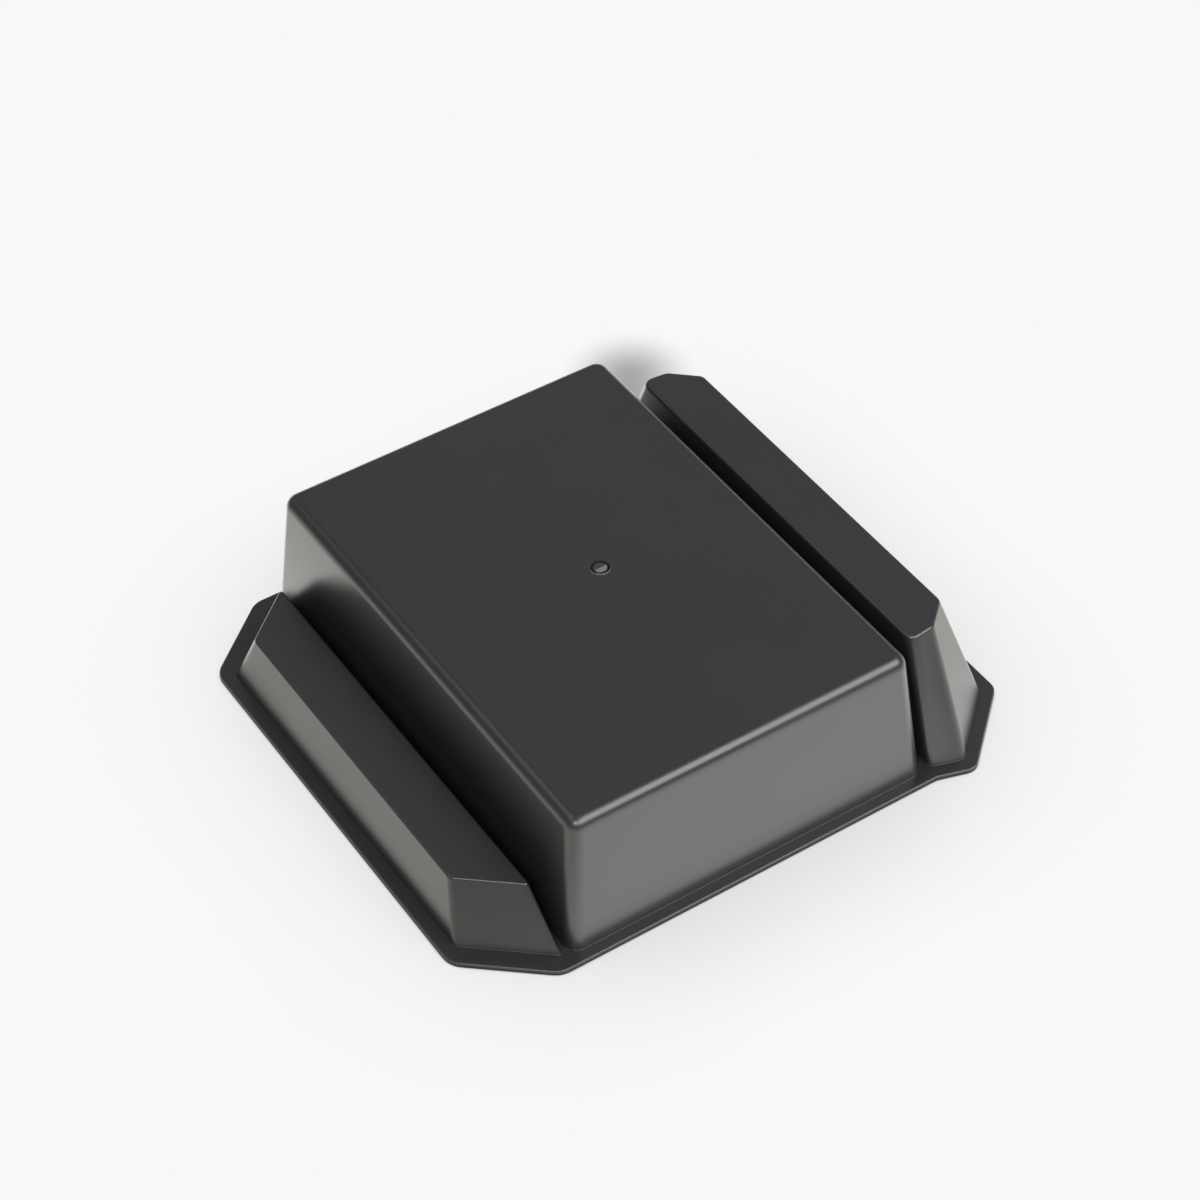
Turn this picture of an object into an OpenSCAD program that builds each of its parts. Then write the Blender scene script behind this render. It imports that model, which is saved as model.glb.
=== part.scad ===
// One-piece moulded storage tray, lying upside down on its rim.
// A deep central well has a low trough on its left and a tall trough on its
// right.  The three share one thin rim with cut-off corners.  All three are open
// at the rim plane, z = 0.  Front and back mirror each other about y = 0.
// Distances to the left and right below are measured from the well's centre
// line; the tray is then moved so that the origin is the middle of the rim.

/* [Walls] */
// Thickness of the walls and of the bottoms
wall = 2; // [1.6:0.1:2.4]
// Smallest radius of the inside edges at the bottom of the well and troughs
inside_edge_r = 1.2; // [0.6:0.1:2]

/* [Central well] */
// Width of the well at the rim, left to right
well_width = 138; // [120:1:139]
// Length of the well at the rim, front to back
well_length = 190; // [150:1:190]
// Height of the well over the rim plane
well_height = 54; // [50:0.5:70]
// Lean of the well's four walls from upright, in degrees
well_lean = 5.4; // [1:0.1:8]
// Radius of the well's upright corners
well_corner_r = 4.8; // [4.5:0.1:8]
// Radius of the edges around the well's flat bottom
well_edge_r = 4.4; // [2:0.1:4.5]

/* [Left trough] */
// Height of the left trough over the rim plane
left_height = 23.4; // [15:0.1:40]
// Distance to its inner wall at the rim
left_inner = 71.2; // [71:0.1:74]
// Distance to its outer wall at the rim
left_outer = 97.8; // [92:0.1:98]
// Half the length of its inner wall at the rim
left_inner_half = 94.6; // [88:0.1:95]
// Half the length of its outer wall at the rim
left_outer_half = 72; // [65:0.1:73]
// Lean of its inner wall, in degrees
left_inner_lean = 4.9; // [1:0.1:6]
// Lean of its outer wall, in degrees
left_outer_lean = 12.3; // [5:0.1:14]
// Lean of its slanted end walls, in degrees
left_end_lean = 24; // [10:0.1:26]
// Radius of its upright corners next to the well
left_inner_corner_r = 0.5; // [0.4:0.1:1.5]
// Radius of the edges around its top face
left_edge_r = 0.9; // [0.6:0.1:1.8]

/* [Right trough] */
// Height of the right trough over the rim plane
right_height = 46.3; // [30:0.1:50]
// Distance to its inner wall at the rim
right_inner = 71.7; // [71:0.1:73]
// Distance to its outer wall at the rim
right_outer = 107.2; // [104:0.1:108]
// Half the length of its inner wall at the rim
right_inner_half = 95; // [90:0.1:96]
// Half the length of its outer wall at the rim
right_outer_half = 77.5; // [70:0.1:78]
// Half the length of its top face along the inner edge
right_top_half = 77.5; // [70:0.1:79]
// Width of its end walls at the rim, before the slanted corner walls start
right_end_width = 12.1; // [9:0.1:13]
// Sweep of the foot of its end walls, in degrees outwards
right_end_sweep = 17.5; // [0:0.5:20]
// Sweep of the top of its end walls, in degrees outwards
right_top_sweep = -3; // [-5:0.5:5]
// Lean of its inner wall, in degrees
right_inner_lean = 1.9; // [1:0.1:3]
// Lean of its outer wall, in degrees
right_outer_lean = 17.2; // [10:0.1:18]
// Lean of its slanted corner walls, in degrees
right_corner_lean = 19.7; // [10:0.1:20.5]
// Radius of its upright corners next to the well
right_inner_corner_r = 3.2; // [1.5:0.1:4]
// Radius of the edges around its top face
right_edge_r = 1.4; // [0.8:0.1:1.8]

/* [Both troughs] */
// Radius of the troughs' other upright corners, which are blunt
blunt_corner_r = 3.8; // [2:0.1:6]

/* [Rim] */
// Thickness of the rim
rim_thickness = 1.8; // [1.4:0.1:2.4]
// Width of rim outside the walls at the front, at the back and at the right trough's ends
rim_margin = 4; // [3:0.1:5]
// Width of rim outside the right trough's slanted corner walls
rim_corner_margin = 3.4; // [2.5:0.1:5]
// Width of rim outside the left trough's outer wall
rim_left_margin = 4.2; // [3:0.1:6]
// Width of rim outside the left trough's slanted ends
rim_left_end_margin = 5.8; // [4:0.1:7]
// Width of rim outside the right trough's outer wall
rim_right_margin = 5; // [3:0.1:6]
// Radius of the rim's left corners
rim_left_r = 8; // [2:0.5:10]
// Radius of the rim's right corners
rim_right_r = 5; // [2:0.5:6]

/* [Gate mark] */
// Radius of the round gate mark on the well's bottom
gate_r = 3.1; // [2:0.1:4]
// Width of the gate mark's ring groove
gate_groove = 0.6; // [0.4:0.1:1]
// Depth of the gate mark's ring groove
gate_depth = 0.4; // [0.2:0.1:0.6]

/* [Hidden] */

// Facets in a full round of a rounded edge
ROUND_FACETS = 32;
// Straight pieces in one rounded corner of the rim
CORNER_STEPS = 8;
// Height of the thin slices at a body's foot
SLICE = 0.02;
// How far a cavity is cut past the rim plane, for a clean mouth
OVERCUT = 0.5;

// ---- Outline functions ----
// An outline is a list of corners, anticlockwise seen from above.
// Side i of an outline runs from corner i to the next corner.

function next_of(list, i) = list[(i + 1) % len(list)];
function previous_of(list, i) = list[(i + len(list) - 1) % len(list)];

// Unit vector square to the side from a to b, pointing out of the outline.
function outward(a, b) = [b.y - a.y, a.x - b.x] / norm(b - a);

// Where two lines meet, each given by its unit normal and its reach from the origin.
function meet(normal_1, reach_1, normal_2, reach_2) =
    [reach_1 * normal_2.y - reach_2 * normal_1.y,
     normal_1.x * reach_2 - normal_2.x * reach_1]
    / (normal_1.x * normal_2.y - normal_2.x * normal_1.y);

// The outline with each side i moved inwards by moves[i].
function inset_each(outline, moves) =
    let (normals = [for (i = [0:len(outline) - 1]) outward(outline[i], next_of(outline, i))],
         reaches = [for (i = [0:len(outline) - 1]) normals[i] * outline[i] - moves[i]])
    [for (i = [0:len(outline) - 1])
        meet(previous_of(normals, i), previous_of(reaches, i), normals[i], reaches[i])];

// The outline with every side moved inwards by the same distance.
function inset(outline, move) = inset_each(outline, [for (corner = outline) move]);

// A whole outline from its back half, whose corners run from left to right.
function with_front(back_half) =
    concat([for (corner = back_half) [corner.x, -corner.y]],
           [for (i = [len(back_half) - 1:-1:0]) back_half[i]]);

// The arc that rounds one corner to radius r, turning left or right as the corner does.
function rounded_corner(before, corner, after, r) =
    let (into = (corner - before) / norm(corner - before),
         away = (after - corner) / norm(after - corner),
         turn = acos(into * away) * sign(cross(into, away)),
         inwards = [-into.y, into.x] * sign(turn),
         centre = corner - into * r * tan(abs(turn) / 2) + inwards * r,
         first = atan2(-inwards.y, -inwards.x))
    [for (k = [0:CORNER_STEPS])
        let (angle = first + turn * k / CORNER_STEPS)
        centre + r * [cos(angle), sin(angle)]];

// The outline with every corner i rounded to radii[i].
function rounded(outline, radii) =
    [for (i = [0:len(outline) - 1])
        each rounded_corner(previous_of(outline, i), outline[i], next_of(outline, i), radii[i])];

// ---- Outlines of the three bodies, at the rim plane and at the top ----

well_leans = [well_lean, well_lean, well_lean, well_lean];
well_corners = [well_corner_r, well_corner_r, well_corner_r, well_corner_r];
well_foot = with_front([[-well_width / 2, well_length / 2], [well_width / 2, well_length / 2]]);
well_top = inset(well_foot, well_height * tan(well_lean));

left_leans = [left_end_lean, left_inner_lean, left_end_lean, left_outer_lean];
left_corners = [blunt_corner_r, left_inner_corner_r, left_inner_corner_r, blunt_corner_r];
left_foot = with_front([[-left_outer, left_outer_half], [-left_inner, left_inner_half]]);
left_top = inset_each(left_foot, [for (lean = left_leans) left_height * tan(lean)]);

// The right trough's end walls are swept outwards at the foot, but not at the top.
right_foot_end = [right_inner + right_end_width,
                  right_inner_half + right_end_width * tan(right_end_sweep)];
right_foot_out = [right_outer, right_outer_half];
right_corners = [right_inner_corner_r, blunt_corner_r, blunt_corner_r,
                 blunt_corner_r, blunt_corner_r, right_inner_corner_r];
right_foot = with_front([[right_inner, right_inner_half], right_foot_end, right_foot_out]);

right_end_lean = atan((right_inner_half - right_top_half) / right_height);
right_leans = [right_end_lean, right_corner_lean, right_outer_lean,
               right_corner_lean, right_end_lean, right_inner_lean];
right_corner_normal = outward(right_foot_out, right_foot_end);
right_corner_reach = right_corner_normal * right_foot_out - right_height * tan(right_corner_lean);
right_end_normal = [-sin(right_top_sweep), cos(right_top_sweep)];
right_top_in = [right_inner + right_height * tan(right_inner_lean), right_top_half];
right_top_end = meet(right_corner_normal, right_corner_reach,
                     right_end_normal, right_end_normal * right_top_in);
right_top_out = meet([1, 0], right_outer - right_height * tan(right_outer_lean),
                     right_corner_normal, right_corner_reach);
right_top = with_front([right_top_in, right_top_end, right_top_out]);

// ---- Outline of the rim ----

rim_left = left_outer + rim_left_margin;
rim_right = right_outer + rim_right_margin;
rim_back = well_length / 2 + rim_margin;
rim_middle = (rim_right - rim_left) / 2;

left_end_normal = outward([-left_inner, left_inner_half], [-left_outer, left_outer_half]);
left_end_reach = left_end_normal * [-left_outer, left_outer_half] + rim_left_end_margin;
sweep_normal = [-sin(right_end_sweep), cos(right_end_sweep)];
sweep_reach = sweep_normal * right_foot_end + rim_margin;
corner_reach = right_corner_normal * right_foot_out + rim_corner_margin;

rim_outline = with_front([
    meet([-1, 0], rim_left, left_end_normal, left_end_reach),
    meet(left_end_normal, left_end_reach, [0, 1], rim_back),
    meet([0, 1], rim_back, sweep_normal, sweep_reach),
    meet(sweep_normal, sweep_reach, right_corner_normal, corner_reach),
    meet(right_corner_normal, corner_reach, [1, 0], rim_right)]);
rim_half_radii = [rim_left_r, rim_left_r, rim_right_r, rim_right_r, rim_right_r];
rim_radii = [for (i = [0:len(rim_outline) - 1])
    rim_half_radii[min(i, len(rim_outline) - 1 - i)]];

// ---- Solids ----

// Centres of the balls that sit at this depth inside the walls and the flat top.
function ball_centres(top, leans, depth) =
    inset_each(top, [for (lean = leans) depth * (1 / cos(lean) - tan(lean))]);

// A disc whose round edge has its own smaller radius.  The edge is centred on z = 0.
// With both radii equal it is a ball.
module soft_disc(r, edge_r) {
    rotate_extrude($fn = ROUND_FACETS) {
        intersection() {
            translate([r - edge_r, 0])
                circle(r = edge_r, $fn = ROUND_FACETS);
            translate([0, -edge_r])
                square([r, 2 * edge_r]);
        }
    }
}

// The outside of one body, with rounded upright corners and top edges.
module outside(foot, top, leans, height, corner_radii, edge_r) {
    edge_centres = ball_centres(top, leans, edge_r);
    hull() {
        for (i = [0:len(foot) - 1]) {
            corner_r = max(corner_radii[i], edge_r);
            low = inset(foot, corner_radii[i])[i];
            high = inset(edge_centres, corner_r - edge_r)[i];
            translate([low.x, low.y, 0])
                cylinder(r = corner_radii[i], h = SLICE, $fn = ROUND_FACETS);
            translate([high.x, high.y, height - edge_r])
                soft_disc(corner_r, edge_r);
        }
    }
}

// The hollow inside one body, one wall thickness in from its outside.
module hollow(foot, top, leans, height, edge_r) {
    mouth = inset_each(foot, [for (lean = leans) wall / cos(lean)]);
    inside_r = max(edge_r - wall, inside_edge_r);
    depth = wall + inside_r;
    hull() {
        for (corner = inset(mouth, inside_r)) {
            translate([corner.x, corner.y, -OVERCUT])
                cylinder(r = inside_r, h = OVERCUT, $fn = ROUND_FACETS);
        }
        for (corner = ball_centres(top, leans, depth)) {
            translate([corner.x, corner.y, height - depth])
                soft_disc(inside_r, inside_r);
        }
    }
}

module rim() {
    linear_extrude(rim_thickness)
        polygon(rounded(rim_outline, rim_radii));
}

// A ring groove left by the mould's gate, over the origin.
module gate_mark() {
    translate([rim_middle, 0, well_height - gate_depth]) {
        difference() {
            cylinder(r = gate_r, h = 2 * gate_depth, $fn = 2 * ROUND_FACETS);
            cylinder(r = gate_r - gate_groove, h = 4 * gate_depth, center = true, $fn = 2 * ROUND_FACETS);
        }
    }
}

module tray() {
    color("#303032")
        translate([-rim_middle, 0, 0]) {
            difference() {
                union() {
                    rim();
                    outside(well_foot, well_top, well_leans, well_height, well_corners, well_edge_r);
                    outside(left_foot, left_top, left_leans, left_height, left_corners, left_edge_r);
                    outside(right_foot, right_top, right_leans, right_height, right_corners, right_edge_r);
                }
                hollow(well_foot, well_top, well_leans, well_height, well_edge_r);
                hollow(left_foot, left_top, left_leans, left_height, left_edge_r);
                hollow(right_foot, right_top, right_leans, right_height, right_edge_r);
                gate_mark();
            }
        }
}

tray();
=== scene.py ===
"""A one-piece moulded storage tray, lying upside down on its rim.

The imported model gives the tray's walls.  This script slices it to read those walls, and
rebuilds the tray as one closed shell with the fillets, rounded edges and gate scar of a
moulding, in black plastic, on a pale floor in soft studio light.
"""

import math

import bmesh
import bpy
from mathutils import Matrix, Vector, noise


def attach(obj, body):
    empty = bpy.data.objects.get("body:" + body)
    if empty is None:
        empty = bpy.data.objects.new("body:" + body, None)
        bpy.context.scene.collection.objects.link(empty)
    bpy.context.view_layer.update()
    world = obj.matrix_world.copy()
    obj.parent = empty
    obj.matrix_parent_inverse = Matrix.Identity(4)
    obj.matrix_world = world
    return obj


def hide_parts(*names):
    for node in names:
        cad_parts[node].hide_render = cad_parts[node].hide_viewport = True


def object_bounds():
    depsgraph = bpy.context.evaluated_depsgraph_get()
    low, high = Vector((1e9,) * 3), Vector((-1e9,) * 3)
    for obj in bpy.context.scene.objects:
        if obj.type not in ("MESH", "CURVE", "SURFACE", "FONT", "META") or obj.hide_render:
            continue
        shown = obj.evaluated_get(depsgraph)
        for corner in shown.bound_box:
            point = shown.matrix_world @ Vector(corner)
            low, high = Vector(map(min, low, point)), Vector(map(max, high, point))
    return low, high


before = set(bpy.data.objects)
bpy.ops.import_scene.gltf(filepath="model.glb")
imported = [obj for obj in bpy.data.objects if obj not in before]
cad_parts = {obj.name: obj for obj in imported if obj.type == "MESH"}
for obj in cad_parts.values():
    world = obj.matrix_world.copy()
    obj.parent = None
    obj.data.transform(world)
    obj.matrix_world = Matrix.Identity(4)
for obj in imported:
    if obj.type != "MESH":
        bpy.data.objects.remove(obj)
CAD_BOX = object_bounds()

MM = 0.001

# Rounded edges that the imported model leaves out, as radii.
FOOT_FILLET = 0.15 * MM
MOUTH_EDGE = 0.6 * MM
SMALLEST_CEILING_FILLET = 1.2 * MM
RIM_TOP_EDGE = 0.45 * MM
RIM_BOTTOM_EDGE = 0.25 * MM
SMALLEST_CORNER = 0.15 * MM
# Share of the gap between two bodies that one foot fillet may take.
GROOVE_SHARE = 0.42

# Steps along each rounded edge, round each corner, up each wall and along each wall.
EDGE_STEPS = 8
CORNER_STEPS = 8
WALL_STEPS = 10
SIDE_STEPS = 12

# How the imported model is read.
SLICE_OVER_RIM = 0.5 * MM
SLICE_UNDER_TOP = 5.0 * MM
SLICE_AT_FLAT = 0.003 * MM
LONG_SIDE = 3.0 * MM
WELD = 0.001 * MM
STRAIGHT = math.radians(0.5)
# A face is flat if its normal's z is over this.
FLAT = 0.999


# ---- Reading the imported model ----

def welded_copy(node):
    """The node's mesh as a bmesh whose equal points are one point."""
    mesh = bmesh.new()
    mesh.from_mesh(node.data)
    bmesh.ops.remove_doubles(mesh, verts=mesh.verts, dist=WELD)
    return mesh


def signed_area(points):
    """Area inside a closed outline: positive if it runs anticlockwise."""
    total = 0.0
    for i, point in enumerate(points):
        previous = points[i - 1]
        total += previous.x * point.y - previous.y * point.x
    return total / 2


def slice_loops(mesh, height):
    """The closed outlines where the plane z = height cuts the mesh, all anticlockwise."""
    cut = mesh.copy()
    geometry = cut.verts[:] + cut.edges[:] + cut.faces[:]
    bmesh.ops.bisect_plane(cut, geom=geometry, dist=WELD, plane_co=(0, 0, height),
                           plane_no=(0, 0, 1), clear_inner=True, clear_outer=True)
    loops = []
    waiting = set(cut.verts)
    while waiting:
        vert = waiting.pop()
        loop = [vert]
        while True:
            onward = [e.other_vert(loop[-1]) for e in loop[-1].link_edges]
            onward = [v for v in onward if v in waiting]
            if not onward:
                break
            waiting.remove(onward[0])
            loop.append(onward[0])
        points = [v.co.to_2d() for v in loop]
        if len(points) > 2:
            loops.append(points if signed_area(points) > 0 else points[::-1])
    cut.free()
    return loops


def without_straight_points(points):
    """The outline without the points that lie on a straight run."""
    kept = []
    for i, point in enumerate(points):
        into = point - points[i - 1]
        away = points[(i + 1) % len(points)] - point
        if abs(into.angle_signed(away)) > STRAIGHT:
            kept.append(point)
    return kept


def side_normal(start, end):
    """Unit vector square to a side of an anticlockwise outline, pointing out of it."""
    along = (end - start).normalized()
    return Vector((along.y, -along.x))


def meet(normal_1, reach_1, normal_2, reach_2):
    """Where two lines meet, each given by its unit normal and its reach from the origin."""
    twist = normal_1.x * normal_2.y - normal_2.x * normal_1.y
    return Vector((reach_1 * normal_2.y - reach_2 * normal_1.y,
                   normal_1.x * reach_2 - normal_2.x * reach_1)) / twist


def turn_between(normal_1, normal_2):
    """Angle from one normal to the next, positive anticlockwise."""
    return math.atan2(normal_1.x * normal_2.y - normal_1.y * normal_2.x, normal_1.dot(normal_2))


def sharp_outline(points):
    """The outline's sharp corners, and the radius that rounds each: below 0 in a hollow corner.

    Side i runs from corner i to the next one, and side 0 is the one that faces +X most.
    """
    points = without_straight_points(points)
    sides = [(points[i - 1], point) for i, point in enumerate(points)
             if (point - points[i - 1]).length > LONG_SIDE]
    normals = [side_normal(*side) for side in sides]
    first = max(range(len(sides)), key=lambda i: normals[i].x)
    sides = sides[first:] + sides[:first]
    normals = normals[first:] + normals[:first]
    corners = []
    radii = []
    for i, side in enumerate(sides):
        before = i - 1
        corner = meet(normals[before], normals[before].dot(sides[before][0]),
                      normals[i], normals[i].dot(side[0]))
        turn = turn_between(normals[before], normals[i])
        corners.append(corner)
        radii.append((side[0] - corner).length / math.tan(turn / 2))
    return corners, radii


class Wall:
    """One leaning wall all the way round, known at two heights."""

    def __init__(self, low_points, low_height, high_points, high_height):
        self.low_height = low_height
        self.high_height = high_height
        self.low_corners, self.low_radii = sharp_outline(low_points)
        self.high_corners, self.high_radii = sharp_outline(high_points)
        self.count = len(self.low_corners)

    def at(self, height):
        """The sharp corners and the corner radii at a height."""
        share = 0.0
        if self.high_height > self.low_height:
            share = (height - self.low_height) / (self.high_height - self.low_height)
        corners = [low.lerp(high, share) for low, high in zip(self.low_corners, self.high_corners)]
        radii = [low + (high - low) * share for low, high in zip(self.low_radii, self.high_radii)]
        return corners, radii

    def sides(self, height):
        """Each side's unit normal and its middle at a height."""
        corners, _ = self.at(height)
        found = []
        for i, corner in enumerate(corners):
            end = corners[(i + 1) % self.count]
            found.append((side_normal(corner, end), (corner + end) / 2))
        return found

    def leans(self):
        """How far each side leans inwards from upright, as an angle."""
        rise = self.high_height - self.low_height
        found = []
        for (normal, low), (_, high) in zip(self.sides(self.low_height), self.sides(self.high_height)):
            found.append(math.atan2(normal.dot(low - high), rise) if rise else 0.0)
        return found


class Body:
    """One upturned bowl of the tray: its outside, its cavity and their levels."""

    def __init__(self, mesh, low_loops, low_height):
        outside_low, cavity_low = sorted(low_loops, key=signed_area, reverse=True)
        self.left = min(point.x for point in outside_low)
        self.right = max(point.x for point in outside_low)
        self.top = self.level(mesh, 1)
        self.ceiling = self.level(mesh, -1)
        high_height = self.top - SLICE_UNDER_TOP
        high_loops = [loop for loop in slice_loops(mesh, high_height) if self.holds(loop)]
        outside_high, cavity_high = sorted(high_loops, key=signed_area, reverse=True)
        self.outside = Wall(outside_low, low_height, outside_high, high_height)
        self.cavity = Wall(cavity_low, low_height, cavity_high, high_height)
        flat = [loop for loop in slice_loops(mesh, self.top - SLICE_AT_FLAT) if self.holds(loop)]
        self.edge_radius = self.edge_radius_at(max(flat, key=signed_area))

    def holds(self, loop):
        """True if the loop lies within this body's left and right ends."""
        return all(self.left < point.x < self.right for point in loop)

    def level(self, mesh, facing):
        """Height of the body's highest flat face that looks up (1) or down (-1)."""
        found = [face.calc_center_median() for face in mesh.faces if face.normal.z * facing > FLAT]
        return max(centre.z for centre in found if self.left < centre.x < self.right)

    def edge_radius_at(self, flat_loop):
        """Radius of the edge round the flat top, from how far in the flat starts."""
        flat_corners, _ = sharp_outline(flat_loop)
        normal, middle = self.outside.sides(self.top)[0]
        inset = normal.dot(middle - flat_corners[0])
        lean = self.outside.leans()[0]
        return inset * math.cos(lean) / (1 - math.sin(lean))


# ---- Rings of points, and the surfaces between them ----

def fillet_offset(radius, lean, height):
    """How far a rounded edge stands off a leaning wall, at a height from the flat it meets."""
    if height >= radius * (1 - math.sin(lean)):
        return 0.0
    reach = radius * (1 - math.sin(lean)) / math.cos(lean)
    return reach - math.sqrt(radius ** 2 - (radius - height) ** 2) + height * math.tan(lean)


def fillet_heights(radius):
    """Heights over the flat at which a rounded edge gets a ring of points."""
    return [radius * (1 - math.cos(math.pi / 2 * k / EDGE_STEPS)) for k in range(EDGE_STEPS + 1)]


def ring(corners, radii, offsets, height):
    """Points round an outline whose side i is moved out by offsets[i], with rounded corners."""
    count = len(corners)
    normals = [side_normal(corners[i], corners[(i + 1) % count]) for i in range(count)]
    reaches = [normals[i].dot(corners[i]) + offsets[i] for i in range(count)]
    arcs = []
    for i in range(count):
        before = i - 1
        radius = radii[i] + (offsets[before] + offsets[i]) / 2
        if radii[i] > 0:
            radius = max(radius, SMALLEST_CORNER)
        centre = meet(normals[before], reaches[before] - radius, normals[i], reaches[i] - radius)
        turn = turn_between(normals[before], normals[i])
        arc = []
        for k in range(CORNER_STEPS + 1):
            arc.append(centre + radius * (Matrix.Rotation(turn * k / CORNER_STEPS, 2) @ normals[before]))
        arcs.append(arc)
    points = []
    for i, arc in enumerate(arcs):
        points += arc
        onward = arcs[(i + 1) % count][0]
        points += [arc[-1].lerp(onward, k / SIDE_STEPS) for k in range(1, SIDE_STEPS)]
    return [point.to_3d() + Vector((0, 0, height)) for point in points]


def wall_rings(wall, bottom, top, foot_radii, foot_turn, top_radius):
    """Rings from a wall's foot to its top.

    foot_turn is 1 where the foot spreads outwards and -1 where it tucks in.
    """
    leans = wall.leans()
    foot = max(foot_radii)
    heights = [bottom + h for h in fillet_heights(foot)]
    wall_start = heights[-1]
    wall_end = top - top_radius
    heights += [wall_start + (wall_end - wall_start) * k / WALL_STEPS for k in range(1, WALL_STEPS)]
    heights += [top - h for h in reversed(fillet_heights(top_radius))]
    rings = []
    for height in heights:
        offsets = []
        for lean, foot_radius in zip(leans, foot_radii):
            spread = fillet_offset(foot_radius, lean, height - bottom)
            tuck = fillet_offset(top_radius, lean, top - height)
            offsets.append(foot_turn * spread - tuck)
        rings.append(ring(*wall.at(height), offsets, height))
    return rings


def add_strips(mesh, rings):
    """Adds quads between each ring and the next, and returns the rings' points."""
    loops = [[mesh.verts.new(point) for point in points] for points in rings]
    for lower, upper in zip(loops, loops[1:]):
        for i in range(len(lower)):
            mesh.faces.new((lower[i - 1], lower[i], upper[i], upper[i - 1]))
    return loops


def fill_between(mesh, outer, holes):
    """Fills the flat area inside the outer loop and outside the holes."""
    edges = []
    for loop in [outer] + holes:
        edges += [mesh.edges.get((loop[i - 1], vert)) for i, vert in enumerate(loop)]
    bmesh.ops.triangle_fill(mesh, edges=edges, use_beauty=True, normal=(0, 0, 1))


# ---- The gate scar in the middle of the well's flat bottom ----

GATE_STEPS = 72
# The groove's depth, and how far each of its walls leans in.
GATE_GROOVE_DEPTH = 0.60 * MM
GATE_WALL = 0.05 * MM
# The lip round the groove, from its foot inwards: shares of its width and of its height.
GATE_LIP_WIDTH = 0.7 * MM
GATE_LIP_HEIGHT = 0.30 * MM
LIP_OUTSIDE = ((1, 0), (0.85, 0.3), (0.6, 0.9), (0.4, 1))
LIP_INSIDE = ((0.15, 0.6), (0, 0.1))
# The torn face of the stub: a soft step across it, a fine roughness, and how far it is sunk.
TORN_RINGS = 10
TORN_STEP = 0.22 * MM
TORN_STEP_SOFTNESS = 0.25 * MM
TORN_ROUGHNESS = 0.10 * MM
TORN_GRAIN = 1 / (0.55 * MM)
TORN_SINK = 0.05 * MM
# Directions across the step, of the short bridge over the groove, and of the lip's highest point, where
# its painted highlight is brightest.
STEP_AZIMUTH = math.radians(-88)
BRIDGE_AZIMUTH = math.radians(-142)
BRIDGE_WIDTH = math.radians(9)
LIP_AZIMUTH = math.radians(-112)
# Name of the mesh attribute that marks the scar and the lip's painted highlight: 1 where it is torn, a
# painted highlight on the lip's outside, and -1 in the groove.
SCAR_AND_LIP_HIGHLIGHT = "gate_scar_and_lip_highlight"
# A painted highlight on the lip's highest point, and the mark on the low side of the stub.
LIP_PAINTED_HIGHLIGHT = 0.8
LOW_SIDE_MARK = 0.1


def gate_circle(mesh, body):
    """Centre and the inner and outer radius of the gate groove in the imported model."""
    middle = (body.left + body.right) / 2
    quarter = (body.right - body.left) / 4
    points = [v.co for v in mesh.verts if body.ceiling + WELD < v.co.z < body.top - WELD
              and abs(v.co.x - middle) < quarter and abs(v.co.y) < quarter]
    centre = Vector((sum(p.x for p in points), sum(p.y for p in points))) / len(points)
    distances = [(p.to_2d() - centre).length for p in points]
    return centre, min(distances), max(distances)


def gate_angles():
    """Angles of the points round the gate scar."""
    return [2 * math.pi * k / GATE_STEPS for k in range(GATE_STEPS)]


def step_share(x, y):
    """0 on the low side of the torn face's step and 1 on its high side."""
    across = x * math.cos(STEP_AZIMUTH) + y * math.sin(STEP_AZIMUTH)
    return (1 + math.tanh(across / TORN_STEP_SOFTNESS)) / 2


def torn_height(x, y):
    """Height of the torn face of the gate stub, from the flat around it."""
    grain = noise.noise(Vector((x, y, 0)) * TORN_GRAIN) * TORN_ROUGHNESS
    return TORN_STEP * (step_share(x, y) - 0.5) + grain - TORN_SINK


def torn_mark(x, y):
    """The mark on the torn face."""
    return LOW_SIDE_MARK + (1 - LOW_SIDE_MARK) * step_share(x, y)


def groove_mark(angle):
    """-1 in the groove, and 0 on the thin bridge of plastic over it."""
    away = abs((angle - BRIDGE_AZIMUTH + math.pi) % (2 * math.pi) - math.pi)
    return math.exp(-(away / BRIDGE_WIDTH) ** 2) - 1


def lip_share(angle):
    """1 where the lip round the groove is highest, and 0 on the other side."""
    return (0.5 + 0.5 * math.cos(angle - LIP_AZIMUTH)) ** 2


def gate_rows(inner, outer):
    """Rows of points round the scar, from the outside in, as (radius, angle, height, mark)."""
    rows = []
    for share, rise in LIP_OUTSIDE:
        radius = outer + share * GATE_LIP_WIDTH
        # On the lip's outside the mark is a painted highlight, brightest where the lip is highest.
        rows.append([(radius, a, rise * lip_share(a) * GATE_LIP_HEIGHT, rise * lip_share(a) * LIP_PAINTED_HIGHLIGHT)
                     for a in gate_angles()])
    for share, rise in LIP_INSIDE:
        radius = outer + share * GATE_LIP_WIDTH
        rows.append([(radius, a, rise * lip_share(a) * GATE_LIP_HEIGHT, groove_mark(a))
                     for a in gate_angles()])
    for radius in (outer - GATE_WALL, inner + GATE_WALL):
        rows.append([(radius, a, groove_mark(a) * GATE_GROOVE_DEPTH, groove_mark(a))
                     for a in gate_angles()])
    rows.append([(inner, a, -GATE_WALL, groove_mark(a)) for a in gate_angles()])
    for k in range(TORN_RINGS):
        radius = (inner - GATE_WALL) * (1 - k / TORN_RINGS)
        row = []
        for a in gate_angles():
            x = radius * math.cos(a)
            y = radius * math.sin(a)
            row.append((radius, a, torn_height(x, y), torn_mark(x, y) if k > 0 else groove_mark(a)))
        rows.append(row)
    return rows


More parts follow.
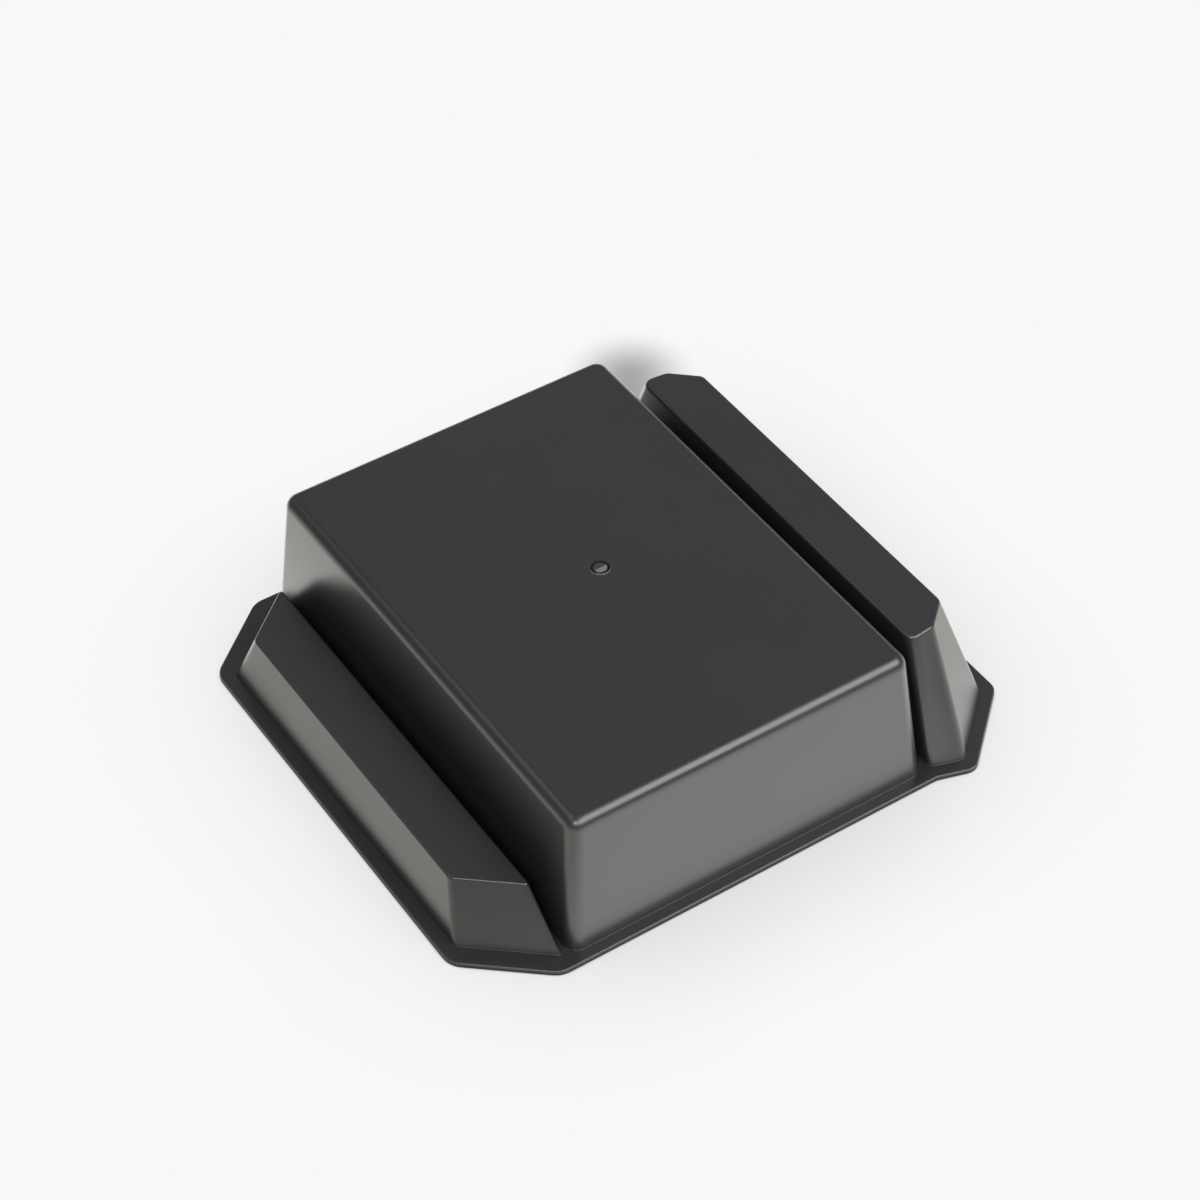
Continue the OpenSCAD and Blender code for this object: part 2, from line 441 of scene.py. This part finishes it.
def add_gate_scar(mesh, centre, inner, outer, top):
    """Adds the lip, the ring groove and the torn stub, and returns the loop at the lip's foot."""
    rows = gate_rows(inner, outer)
    rings = [[Vector((centre.x + r * math.cos(a), centre.y + r * math.sin(a), top + rise))
              for r, a, rise, _ in row] for row in rows]
    scar = mesh.verts.layers.float[SCAR_AND_LIP_HIGHLIGHT]
    loops = add_strips(mesh, rings)
    for loop, row in zip(loops, rows):
        for vert, (_, _, _, mark) in zip(loop, row):
            vert[scar] = mark
    middle = mesh.verts.new(Vector((centre.x, centre.y, top + torn_height(0, 0))))
    middle[scar] = torn_mark(0, 0)
    for i, vert in enumerate(loops[-1]):
        mesh.faces.new((loops[-1][i - 1], vert, middle))
    return loops[0]


# ---- The tray's shell ----

def foot_radii(body, bodies):
    """Foot fillet of each side, smaller where the side faces another body across a groove."""
    found = []
    for (normal, middle), lean in zip(body.outside.sides(body.outside.low_height), body.outside.leans()):
        radius = FOOT_FILLET
        for other in bodies:
            if other is not body:
                corners = other.outside.low_corners
                gap = min(normal.dot(corner - middle) for corner in corners)
                if gap > 0:
                    spread = (1 - math.sin(lean)) / math.cos(lean)
                    radius = min(radius, GROOVE_SHARE * gap / spread)
        found.append(radius)
    return found


def build_shell():
    """The whole tray as one closed mesh object."""
    cad = welded_copy(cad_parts["tray"])
    ups = [face for face in cad.faces if face.normal.z > FLAT]
    rim_top = min(face.calc_center_median().z for face in ups)
    low_height = rim_top + SLICE_OVER_RIM
    loops = sorted(slice_loops(cad, low_height), key=lambda loop: min(p.x for p in loop))
    bodies = [Body(cad, pair, low_height) for pair in zip(loops[0::2], loops[1::2])]
    rim_points = max(slice_loops(cad, rim_top / 2), key=signed_area)
    rim = Wall(rim_points, rim_top / 2, rim_points, rim_top / 2)
    well = max(bodies, key=lambda body: body.top)
    gate = gate_circle(cad, well)
    cad.free()

    shell = bmesh.new()
    shell.verts.layers.float.new(SCAR_AND_LIP_HIGHLIGHT)
    rim_rings = wall_rings(rim, 0.0, rim_top, [RIM_BOTTOM_EDGE] * rim.count, -1, RIM_TOP_EDGE)
    underside, *_, upper_side = add_strips(shell, rim_rings)
    feet = []
    mouths = []
    for body in bodies:
        radii = foot_radii(body, bodies)
        foot, *_, cap = add_strips(shell, wall_rings(body.outside, rim_top, body.top, radii, 1,
                                                     body.edge_radius))
        mouth_radii = [MOUTH_EDGE] * body.cavity.count
        ceiling_fillet = max(body.edge_radius - (body.top - body.ceiling), SMALLEST_CEILING_FILLET)
        mouth, *_, ceiling = add_strips(shell, wall_rings(body.cavity, 0.0, body.ceiling,
                                                          mouth_radii, 1, ceiling_fillet))
        feet.append(foot)
        mouths.append(mouth)
        shell.faces.new(ceiling)
        if body is well:
            fill_between(shell, cap, [add_gate_scar(shell, *gate, body.top)])
        else:
            shell.faces.new(cap)
    fill_between(shell, upper_side, feet)
    fill_between(shell, underside, mouths)
    bmesh.ops.recalc_face_normals(shell, faces=shell.faces)

    mesh = bpy.data.meshes.new("tray_shell")
    shell.to_mesh(mesh)
    shell.free()
    mesh.shade_smooth()
    piece = bpy.data.objects.new("tray_shell", mesh)
    bpy.context.scene.collection.objects.link(piece)
    piece.modifiers.new("flat_faces_stay_flat", "WEIGHTED_NORMAL")
    return piece


# ---- Nodes ----

def set_input(tree, socket, value):
    """Links an input to another node's socket, or sets it to a plain value."""
    if isinstance(value, bpy.types.NodeSocket):
        tree.links.new(value, socket)
    else:
        socket.default_value = value


def add_node(tree, kind, **inputs):
    """A new node, with its inputs set by name."""
    node = tree.nodes.new(kind)
    for name, value in inputs.items():
        set_input(tree, node.inputs[name.replace("_", " ")], value)
    return node


def remap(tree, value, start, end, low, high):
    """A socket that runs from low to high as the value runs from start to end."""
    node = add_node(tree, "ShaderNodeMapRange", Value=value, From_Min=start, From_Max=end,
                    To_Min=low, To_Max=high)
    return node.outputs["Result"]


def blend(tree, share, colour_0, colour_1):
    """A socket with the mix of two colours."""
    node = tree.nodes.new("ShaderNodeMix")
    node.data_type = "RGBA"
    for name, value in (("Factor", share), ("A", colour_0), ("B", colour_1)):
        set_input(tree, node.inputs[name], value)
    return node.outputs["Result"]


def maths(tree, operation, first, second):
    """A socket with the result of an operation on two numbers."""
    node = tree.nodes.new("ShaderNodeMath")
    node.operation = operation
    set_input(tree, node.inputs[0], first)
    set_input(tree, node.inputs[1], second)
    return node.outputs[0]


def vector_math(tree, operation, first, second=None):
    """A socket with the result of a vector operation."""
    node = tree.nodes.new("ShaderNodeVectorMath")
    node.operation = operation
    set_input(tree, node.inputs[0], first)
    if second is not None:
        set_input(tree, node.inputs["Scale" if operation == "SCALE" else 1], second)
    return next(socket for socket in node.outputs if socket.enabled)


def mix_shaders(tree, share, first, second):
    """A socket with the first shader where the share is 0, and the second where it is 1."""
    node = tree.nodes.new("ShaderNodeMixShader")
    for socket, value in zip(node.inputs, (share, first, second)):
        tree.links.new(value, socket)
    return node.outputs[0]


def seen_by_camera(tree):
    """A socket with 1 for what the camera sees directly, and 0 for all else."""
    return tree.nodes.new("ShaderNodeLightPath").outputs["Is Camera Ray"]


# ---- Materials ----

DARK_PLASTIC = (0.0100, 0.0101, 0.0105, 1)
LIGHT_PLASTIC = (0.0140, 0.0141, 0.0145, 1)
# Stress-whitened plastic on the torn gate stub, whose pale colour also paints a highlight on the lip
# round the groove.
TORN_PLASTIC_AND_LIP_HIGHLIGHT = (0.090, 0.090, 0.091, 1)
PLASTIC_IOR = 1.5
PLASTIC_SHINE = 0.5
# Roughness where handling has left the plastic shiniest and dullest.
SHINIEST = 0.28
DULLEST = 0.34
# The patches left by handling, and the grain from the mould.
PATCH_SCALE = 14.0
GRAIN_SCALE = 1100.0
GRAIN_DEPTH = 0.04 * MM
GRAIN_STRENGTH = 0.25


def black_plastic():
    """Black moulded plastic with a fine even grain from the mould, faint handling marks, a whitened torn
    gate stub and a painted highlight on the lip round it.
    """
    material = bpy.data.materials.new("black_plastic")
    material.use_nodes = True
    tree = material.node_tree
    place = tree.nodes.new("ShaderNodeTexCoord").outputs["Object"]
    grain = add_node(tree, "ShaderNodeTexNoise", Vector=place, Scale=GRAIN_SCALE, Detail=3.0,
                     Roughness=0.6)
    patches = add_node(tree, "ShaderNodeTexNoise", Vector=place, Scale=PATCH_SCALE, Detail=3.0,
                       Roughness=0.55)
    scar = tree.nodes.new("ShaderNodeAttribute")
    scar.attribute_name = SCAR_AND_LIP_HIGHLIGHT
    # torn is 1 on the torn stub, and on the lip it carries the painted highlight.
    torn = remap(tree, scar.outputs["Fac"], 0.0, 1.0, 0.0, 1.0)
    plastic = blend(tree, patches.outputs["Fac"], DARK_PLASTIC, LIGHT_PLASTIC)
    satin = remap(tree, patches.outputs["Fac"], 0.3, 0.7, SHINIEST, DULLEST)
    # In the groove the gloss is taken away, so the ring stays dark: painted shade.
    shine = remap(tree, scar.outputs["Fac"], -1.0, 0.0, 0.0, PLASTIC_SHINE)
    bump = add_node(tree, "ShaderNodeBump", Height=grain.outputs["Fac"], Strength=GRAIN_STRENGTH,
                    Distance=GRAIN_DEPTH)
    shader = tree.nodes["Principled BSDF"]
    set_input(tree, shader.inputs["Base Color"], blend(tree, torn, plastic, TORN_PLASTIC_AND_LIP_HIGHLIGHT))
    set_input(tree, shader.inputs["Roughness"], maths(tree, "ADD", satin, torn))
    set_input(tree, shader.inputs["Specular IOR Level"], shine)
    set_input(tree, shader.inputs["Normal"], bump.outputs["Normal"])
    set_input(tree, shader.inputs["IOR"], PLASTIC_IOR)
    return material


# ---- Stage, light and camera ----

FLOOR_SIZE = 8.0
# The floor is this far below the rim, so that their faces don't lie in one another.
FLOOR_GAP = 0.02 * MM

# What the camera sees: the floor's brightness, and its share in a closed corner, where shade is painted.
FLOOR_OPEN = 0.94
FLOOR_CLOSED = 0.50
SHADOW_REACH = 60 * MM
# A soft shadow runs back from the gap between the well and the tall trough.
BACK_CORNER = Vector((CAD_BOX[1].x, CAD_BOX[1].y, CAD_BOX[0].z))
SHADOW_START = BACK_CORNER + Vector((-32.0, -3.0, 0.0)) * MM
SHADOW_END = BACK_CORNER + Vector((-10.9, 25.9, 0.0)) * MM
SHADOW_HALF_WIDTH = 28 * MM
SHADOW_DEPTH = 0.58
# Painted contact shade: the floor is black where less than the first share of its sky is open, and clear
# over the second.
CONTACT_REACH = 2 * MM
CONTACT_DARK = 0.42
CONTACT_CLEAR = 0.66

# What the plastic mirrors: the floor's brightness near the tray, and its share far away.
MIRRORED_FLOOR = 2.62
FAR_SHARE = 0.40
NEAR_END = 0.30
FAR_START = 0.80
# The mirrored floor is dimmer and warmer on the left, and a little dimmer on the right.
LEFT_TINT = (0.65, 0.625, 0.58, 1)
FRONT_TINT = (1, 0.985, 0.96, 1)
RIGHT_TINT = (0.76, 0.735, 0.70, 1)
LEFT_TINT_END = -0.12
FRONT_TINT_START = -0.08
FRONT_TINT_END = 0.10
RIGHT_TINT_START = 0.13
# It also darkens where it meets the rim: its brightness goes by this power of the open share.
CONTACT_POWER = 5.0

SKY_COLOUR = (0.97, 0.98, 1.05, 1)
SKY_STRENGTH = 0.30
SKY_SEEN = (0.93, 0.93, 0.93, 1)
# A soft glow in the sky behind the tray, which its flat tops mirror.  Angles in degrees.
GLOW_AZIMUTH = 146
GLOW_ELEVATION = 46
GLOW_STRENGTH = 0.56
GLOW_INNER = 2
GLOW_OUTER = 20


def open_share(tree, reach):
    """A socket with the share of a place's sky that nothing within reach hides."""
    return add_node(tree, "ShaderNodeAmbientOcclusion", Distance=reach).outputs["AO"]


def shadow_behind(tree, place):
    """A socket with the share of light that the shadow behind the tray leaves."""
    line = SHADOW_END - SHADOW_START
    from_start = vector_math(tree, "SUBTRACT", place, SHADOW_START)
    along = remap(tree, vector_math(tree, "DOT_PRODUCT", from_start, line / line.length_squared),
                  0.0, 1.0, 0.0, 1.0)
    away = vector_math(tree, "DISTANCE", from_start, vector_math(tree, "SCALE", line, along))
    share = remap(tree, away, 0.0, SHADOW_HALF_WIDTH, 1.0 - SHADOW_DEPTH, 1.0)
    share.node.interpolation_type = "SMOOTHSTEP"
    return share


def floor_seen(tree, place, contact):
    """The floor for the camera: evenly pale, with soft shadows."""
    level = FLOOR_OPEN
    for share in (remap(tree, open_share(tree, SHADOW_REACH), 0.0, 1.0, FLOOR_CLOSED, 1.0),
                  shadow_behind(tree, place),
                  remap(tree, contact, CONTACT_DARK, CONTACT_CLEAR, 0.0, 1.0)):
        level = maths(tree, "MULTIPLY", level, share)
    return add_node(tree, "ShaderNodeEmission", Strength=level).outputs[0]


def floor_mirrored(tree, place, contact):
    """The floor as the plastic mirrors it: a bright sweep round the tray."""
    across = add_node(tree, "ShaderNodeSeparateXYZ", Vector=place).outputs["X"]
    to_front = remap(tree, across, LEFT_TINT_END, FRONT_TINT_START, 0.0, 1.0)
    to_right = remap(tree, across, FRONT_TINT_END, RIGHT_TINT_START, 0.0, 1.0)
    tint = blend(tree, to_right, blend(tree, to_front, LEFT_TINT, FRONT_TINT), RIGHT_TINT)
    near = remap(tree, vector_math(tree, "LENGTH", place), NEAR_END, FAR_START, 1.0, FAR_SHARE)
    level = maths(tree, "MULTIPLY", maths(tree, "POWER", contact, CONTACT_POWER), MIRRORED_FLOOR)
    level = maths(tree, "MULTIPLY", level, near)
    return add_node(tree, "ShaderNodeEmission", Color=tint, Strength=level).outputs[0]


def pale_floor():
    """The floor's material.  From below it is clear, so that the tray's underside can be seen."""
    material = bpy.data.materials.new("studio_floor")
    material.use_nodes = True
    tree = material.node_tree
    tree.nodes.remove(tree.nodes["Principled BSDF"])
    geometry = tree.nodes.new("ShaderNodeNewGeometry")
    place = geometry.outputs["Position"]
    contact = open_share(tree, CONTACT_REACH)
    top = mix_shaders(tree, seen_by_camera(tree), floor_mirrored(tree, place, contact),
                      floor_seen(tree, place, contact))
    clear = tree.nodes.new("ShaderNodeBsdfTransparent").outputs[0]
    surface = mix_shaders(tree, geometry.outputs["Backfacing"], top, clear)
    tree.links.new(surface, tree.nodes["Material Output"].inputs["Surface"])
    return material


def add_floor(height):
    """A wide level floor at a height."""
    bpy.ops.mesh.primitive_plane_add(size=FLOOR_SIZE, location=(0, 0, height))
    floor = bpy.context.object
    floor.name = "studio_floor"
    floor.data.materials.append(pale_floor())


def add_sky():
    """A dim studio all round, which looks pale where the camera sees it directly."""
    world = bpy.data.worlds.new("studio")
    bpy.context.scene.world = world
    world.use_nodes = True
    tree = world.node_tree
    ray = tree.nodes.new("ShaderNodeTexCoord").outputs["Generated"]
    toward = vector_math(tree, "DOT_PRODUCT", ray, direction(GLOW_AZIMUTH, GLOW_ELEVATION))
    strength = remap(tree, toward, math.cos(math.radians(GLOW_OUTER)),
                     math.cos(math.radians(GLOW_INNER)), SKY_STRENGTH, GLOW_STRENGTH)
    dim = tree.nodes["Background"]
    set_input(tree, dim.inputs["Color"], SKY_COLOUR)
    set_input(tree, dim.inputs["Strength"], strength)
    pale = add_node(tree, "ShaderNodeBackground", Color=SKY_SEEN)
    surface = mix_shaders(tree, seen_by_camera(tree), dim.outputs[0], pale.outputs[0])
    tree.links.new(surface, tree.nodes["World Output"].inputs["Surface"])


def add_softbox(name, aim, azimuth, elevation, distance, width, height, radiance):
    """A glowing panel, seen from its aim at an azimuth and elevation in degrees."""
    lamp = bpy.data.lights.new(name, "AREA")
    lamp.shape = "RECTANGLE"
    lamp.size = width
    lamp.size_y = height
    lamp.energy = radiance * width * height * math.pi
    softbox = bpy.data.objects.new(name, lamp)
    bpy.context.scene.collection.objects.link(softbox)
    away = direction(azimuth, elevation)
    softbox.matrix_world = (Matrix.Translation(aim + away * distance)
                            @ away.to_track_quat("Z", "Y").to_matrix().to_4x4())


def direction(azimuth, elevation):
    """Unit vector from the object towards a place: azimuth 0 is in front, 90 on the right."""
    around = math.radians(azimuth)
    up = math.radians(elevation)
    return Vector((math.sin(around) * math.cos(up), -math.cos(around) * math.cos(up), math.sin(up)))


# The camera's direction and roll in degrees, its distance in metres and its lens in millimetres.
CAMERA_AZIMUTH = -32.22
CAMERA_ELEVATION = 44.38
CAMERA_ROLL = -1.43
CAMERA_DISTANCE = 1.0576
CAMERA_LENS = 94.49
CAMERA_SENSOR = 36.0
CAMERA_NEAREST = 0.01
CAMERA_AIM_SHIFT = Vector((6.3, 10.6, 0.0)) * MM


def add_camera(centre):
    """The camera, which looks past the centre by a small shift."""
    data = bpy.data.cameras.new("camera")
    data.lens = CAMERA_LENS
    data.sensor_width = CAMERA_SENSOR
    data.clip_start = CAMERA_NEAREST
    camera = bpy.data.objects.new("camera", data)
    bpy.context.scene.collection.objects.link(camera)
    back = direction(CAMERA_AZIMUTH, CAMERA_ELEVATION)
    roll = Matrix.Rotation(math.radians(CAMERA_ROLL), 3, "Z").to_quaternion()
    turn = back.to_track_quat("Z", "Y") @ roll
    place = centre + CAMERA_AIM_SHIFT + back * CAMERA_DISTANCE
    camera.matrix_world = Matrix.Translation(place) @ turn.to_matrix().to_4x4()
    bpy.context.scene.camera = camera


tray = build_shell()
tray.data.materials.append(black_plastic())
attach(tray, "root")
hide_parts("tray")

cad_middle = (CAD_BOX[0] + CAD_BOX[1]) / 2
add_floor(CAD_BOX[0].z - FLOOR_GAP)
add_sky()
add_softbox("key_softbox", cad_middle, azimuth=25, elevation=46, distance=2.2,
            width=2.6, height=1.4, radiance=8.0)
add_softbox("camera_side_softbox", cad_middle, azimuth=-42, elevation=42, distance=3.0,
            width=1.3, height=1.0, radiance=12.0)
add_softbox("back_softbox", cad_middle, azimuth=-125, elevation=55, distance=2.5,
            width=1.6, height=1.0, radiance=1.8)
add_camera(cad_middle)
bpy.context.scene.view_settings.view_transform = "Standard"
